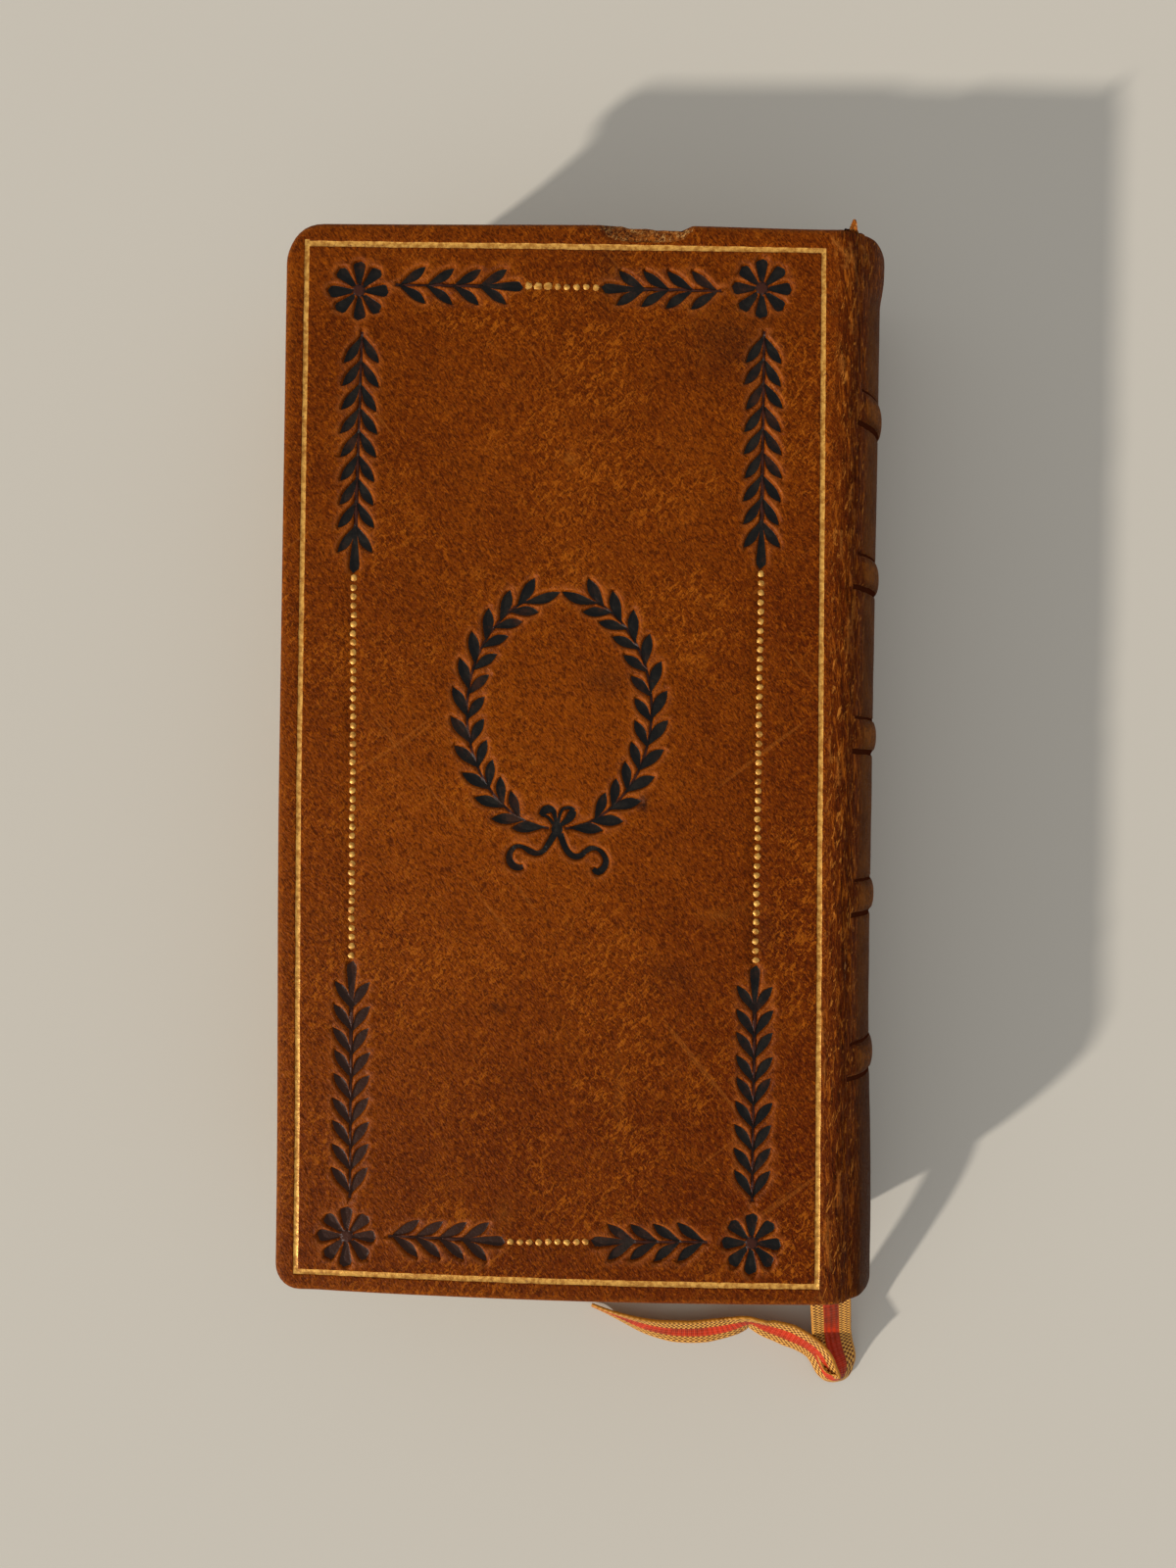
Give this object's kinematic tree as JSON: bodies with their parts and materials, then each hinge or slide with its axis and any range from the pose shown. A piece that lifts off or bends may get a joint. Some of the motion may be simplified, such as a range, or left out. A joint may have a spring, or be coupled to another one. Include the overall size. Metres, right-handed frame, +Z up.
{
  "type": "antique leather book",
  "caption": "Small leather-bound book with raised bands, a stamped laurel wreath on its rear cover, two hinged covers and a ribbon marker.",
  "frame": {"origin": "on the surface that the book lies on, under the middle of the book without its ribbon", "axes": "+X towards the spine, +Y towards the head of the pages, +Z up through the rear cover"},
  "size_m": [0.0854, 0.1693, 0.026],
  "materials": {
    "cover_leather": "satin",
    "tooling_dark": "satin",
    "tooling_gold": "satin",
    "pasteboard": "matte",
    "endpaper": "matte",
    "leaves": "matte",
    "lining_cloth": "matte",
    "hemp_cord": "matte",
    "headband_silk": "satin",
    "ribbon_weave": "satin"
  },
  "bodies": {
    "block": {"page_block": "leaves", "spine_lining": "lining_cloth", "spine_band_1": "hemp_cord", "spine_band_2": "hemp_cord", "spine_band_3": "hemp_cord", "spine_band_4": "hemp_cord", "spine_band_5": "hemp_cord", "spine_leather": "cover_leather", "spine_dark_tooling": "tooling_dark", "headband": "headband_silk", "tailband": "headband_silk", "ribbon_marker": "ribbon_weave"},
    "front_cover": {"front_board": "pasteboard", "front_pastedown": "endpaper", "front_cover_leather": "cover_leather"},
    "rear_cover": {"rear_board": "pasteboard", "rear_pastedown": "endpaper", "rear_cover_leather": "cover_leather", "rear_dark_tooling": "tooling_dark", "rear_gold_fillet": "tooling_gold", "rear_gold_beads": "tooling_gold"}
  },
  "joints": [
    {"name": "rear_cover_hinge", "type": "hinge", "parent": "block", "child": "rear_cover", "pos_m": [0.03575, 0, 0.0262], "axis": [0, 1, 0], "range_deg": [0, 180]},
    {"name": "front_cover_hinge", "type": "hinge", "parent": "block", "child": "front_cover", "pos_m": [0.03575, 0, -0.0002], "axis": [0, -1, 0], "range_deg": [0, 180]}
  ]
}
